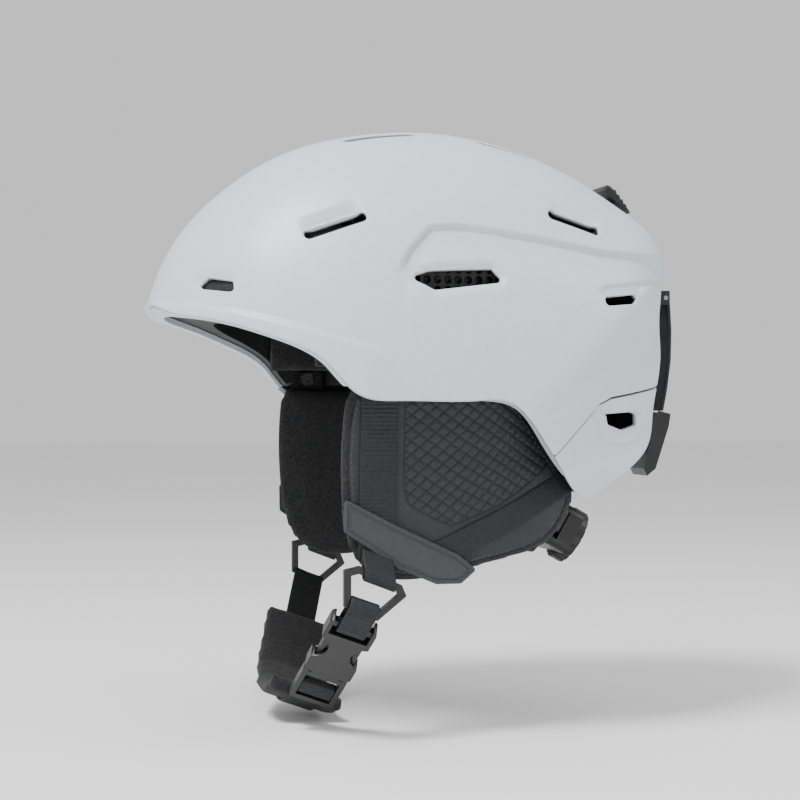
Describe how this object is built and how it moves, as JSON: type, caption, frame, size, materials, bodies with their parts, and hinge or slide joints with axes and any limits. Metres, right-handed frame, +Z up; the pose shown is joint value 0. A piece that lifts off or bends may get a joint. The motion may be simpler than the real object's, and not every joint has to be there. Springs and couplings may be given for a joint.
{
  "type": "ski helmet",
  "caption": "Matte hard-shell ski helmet with side vents, sliding rear vent, dial fit system, padded ear covers, buckled chin strap and rear goggle retainer.",
  "frame": {"origin": "centre of the wearer's head inside the shell", "axes": "-X to the front, -Y to the wearer's left, +Z up; +Y across the helmet"},
  "size_m": [0.2943, 0.2142, 0.316],
  "materials": {
    "shell_paint": "satin paint on a moulded shell",
    "foam": "expanded foam beads",
    "honeycomb": "thin drawn tubes",
    "black_plastic": "fine moulded texture",
    "steel": "zinc plated",
    "fleece": "short brushed pile",
    "panel_fabric": "ripstop weave with a diamond grid",
    "webbing": "ribbed polyester webbing",
    "keeper_fabric": "smooth coated fabric",
    "buckle_plastic": "satin moulded acetal",
    "elastic": "woven elastic"
  },
  "bodies": {
    "helmet": {"outer_shell": "shell_paint", "rear_lower_shell": "shell_paint", "lower_lip": "shell_paint", "foam_liner": "foam", "honeycomb_left": "honeycomb", "honeycomb_right": "honeycomb", "shutter_frame": "black_plastic", "dial_housing": "black_plastic", "dial_cover": "black_plastic", "dial_screws": "steel", "dial_detent_spring": "steel", "cradle_pad": "fleece", "cradle_hanger": "black_plastic", "band_anchor_left": "black_plastic", "band_anchor_right": "black_plastic", "brow_pad": "fleece", "crown_pad": "fleece", "side_pad_left": "fleece", "side_pad_right": "fleece", "rear_pad": "fleece", "ear_pad_left": "fleece", "ear_pad_right": "fleece", "ear_panel_left": "panel_fabric", "ear_panel_right": "panel_fabric", "front_strap_left": "webbing", "front_strap_right": "webbing", "rear_strap_left": "webbing", "rear_strap_right": "webbing", "strap_keeper_left": "keeper_fabric", "strap_keeper_right": "keeper_fabric", "strap_rivets": "steel", "retainer_anchor": "black_plastic", "retainer_pin": "steel", "retainer_stud": "black_plastic"},
    "vent_slider": {"vent_slider_knob": "black_plastic", "vent_shutter": "black_plastic", "slider_screw": "steel"},
    "fit_dial": {"fit_dial": "black_plastic", "dial_pinion": "black_plastic"},
    "fit_band_left": {"fit_band_left": "black_plastic"},
    "fit_band_right": {"fit_band_right": "black_plastic"},
    "chin_loop": {"divider_left": "buckle_plastic", "divider_right": "buckle_plastic", "chin_web_left": "webbing", "buckle_female": "buckle_plastic", "chin_strap_right": "webbing", "chin_pad": "fleece"},
    "buckle_male": {"buckle_male": "buckle_plastic"},
    "prong_left": {"prong_left": "buckle_plastic"},
    "prong_right": {"prong_right": "buckle_plastic"},
    "goggle_retainer": {"goggle_retainer_strap": "elastic", "retainer_clip": "black_plastic"}
  },
  "joints": [
    {"name": "vent_slide", "type": "slide", "parent": "helmet", "child": "vent_slider", "axis": [-0.8, 0, 0.6], "range_m": [0, 0.01]},
    {"name": "fit_dial_turn", "type": "hinge", "parent": "helmet", "child": "fit_dial", "pos_m": [0.097, 0, -0.125], "axis": [0.866, 0, -0.5], "range_deg": [-115, 115]},
    {"name": "fit_band_left_draw", "type": "hinge", "parent": "helmet", "child": "fit_band_left", "pos_m": [0.02123, 0, -0.08125], "axis": [0.5, 0, 0.866], "range_deg": [-6.9, 6.9]},
    {"name": "fit_band_right_draw", "type": "hinge", "parent": "helmet", "child": "fit_band_right", "pos_m": [0.02123, 0, -0.08125], "axis": [0.5, 0, 0.866], "range_deg": [-6.9, 6.9]},
    {"name": "chin_loop_swing", "type": "hinge", "parent": "helmet", "child": "chin_loop", "pos_m": [-0.0285, 0, -0.138], "axis": [0.0483, 0.9988, 0], "range_deg": [-25, 30]},
    {"name": "buckle_release", "type": "slide", "parent": "chin_loop", "child": "buckle_male", "axis": [-0.2218, 0.6806, -0.6982], "range_m": [0, 0.026]},
    {"name": "prong_left_squeeze", "type": "hinge", "parent": "buckle_male", "child": "prong_left", "pos_m": [-0.06104, -0.05961, -0.18409], "axis": [0.2647, 0.7312, 0.6287], "range_deg": [0, 7], "stiffness_Nm_per_rad": 0.05},
    {"name": "prong_right_squeeze", "type": "hinge", "parent": "buckle_male", "child": "prong_right", "pos_m": [-0.04527, -0.06037, -0.18984], "axis": [0.2647, 0.7312, 0.6287], "range_deg": [-7, 0], "stiffness_Nm_per_rad": 0.05},
    {"name": "goggle_retainer_lift", "type": "hinge", "parent": "helmet", "child": "goggle_retainer", "pos_m": [0.1505, 0, 0.008], "axis": [0, -1, 0], "range_deg": [0, 95]}
  ],
  "couplings": [
    {"joint": "fit_band_left_draw", "follows": "fit_dial_turn", "ratio": -0.05806},
    {"joint": "fit_band_right_draw", "follows": "fit_dial_turn", "ratio": 0.05806},
    {"joint": "prong_right_squeeze", "follows": "prong_left_squeeze", "ratio": -1}
  ]
}
